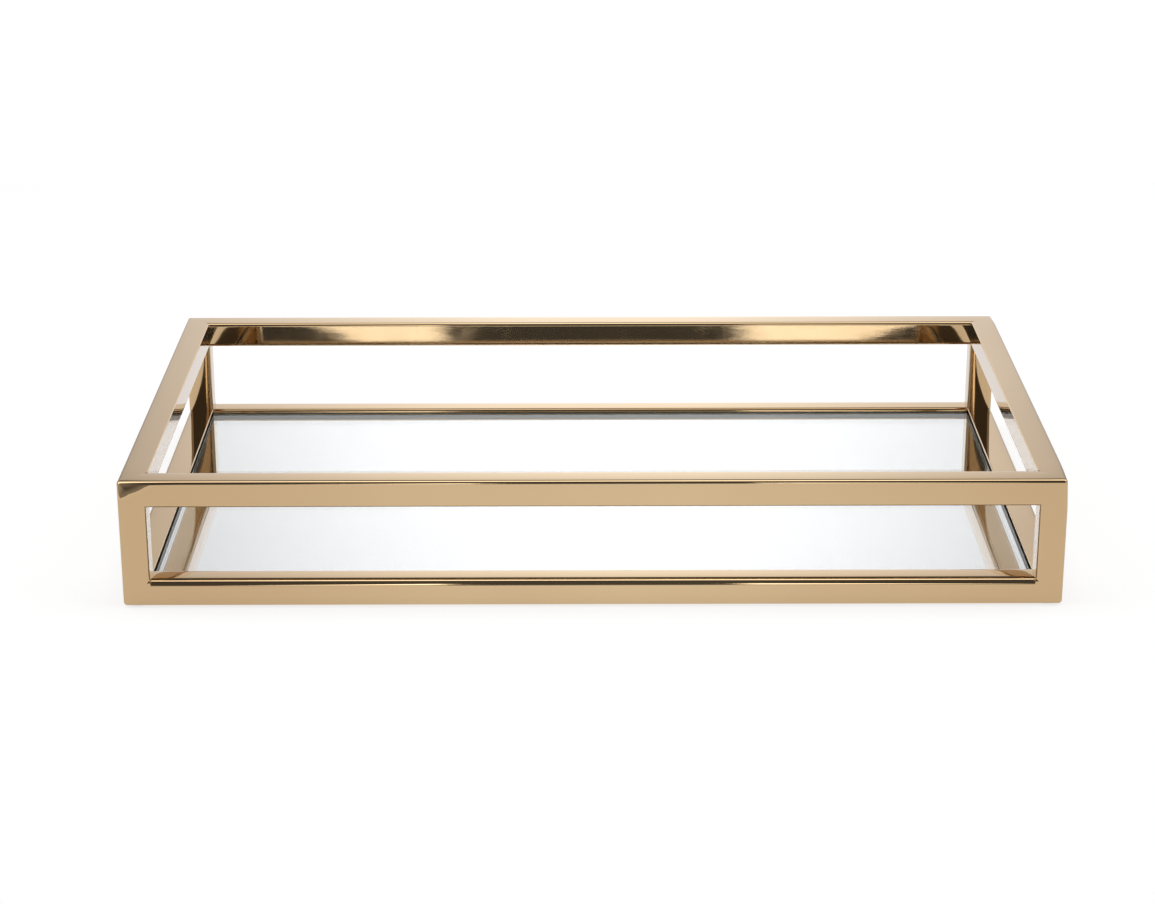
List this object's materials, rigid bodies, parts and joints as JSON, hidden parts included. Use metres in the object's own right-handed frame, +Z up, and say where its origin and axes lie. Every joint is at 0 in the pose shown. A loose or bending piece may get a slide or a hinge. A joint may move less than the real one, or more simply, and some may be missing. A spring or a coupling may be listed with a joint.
{
  "type": "vanity tray",
  "caption": "Low rectangular open-frame tray of polished gold square tube with a mirror floor, for holding perfume bottles and toiletries on a dresser.",
  "frame": {"origin": "middle of the footprint, on the plane that the corner pads stand on", "axes": "+X to the right along the tray's long side, +Y from the front to the rear, +Z up"},
  "size_m": [0.406, 0.235, 0.0583],
  "materials": {
    "polished_gold": "mirror-polished champagne gold plating",
    "ledge_metal": "unpolished plated flat bar",
    "mirror": "clear silvered plate glass with ground edges",
    "board": "raw fibreboard",
    "foam_tape": "closed-cell foam mounting tape",
    "felt": "black pressed felt",
    "pad": "translucent grey bumper pad"
  },
  "bodies": {
    "root": {"front_bottom_rail": "polished_gold", "front_top_rail": "polished_gold", "rear_bottom_rail": "polished_gold", "rear_top_rail": "polished_gold", "left_bottom_rail": "polished_gold", "left_top_rail": "polished_gold", "right_bottom_rail": "polished_gold", "right_top_rail": "polished_gold", "front_left_post": "polished_gold", "front_right_post": "polished_gold", "rear_left_post": "polished_gold", "rear_right_post": "polished_gold", "front_ledge": "ledge_metal", "rear_ledge": "ledge_metal", "left_ledge": "ledge_metal", "right_ledge": "ledge_metal", "front_left_pad": "pad", "front_right_pad": "pad", "rear_left_pad": "pad", "rear_right_pad": "pad", "backing_board": "board", "mounting_tape": "foam_tape", "mirror_glass": "mirror", "base_felt": "felt"}
  },
  "joints": []
}
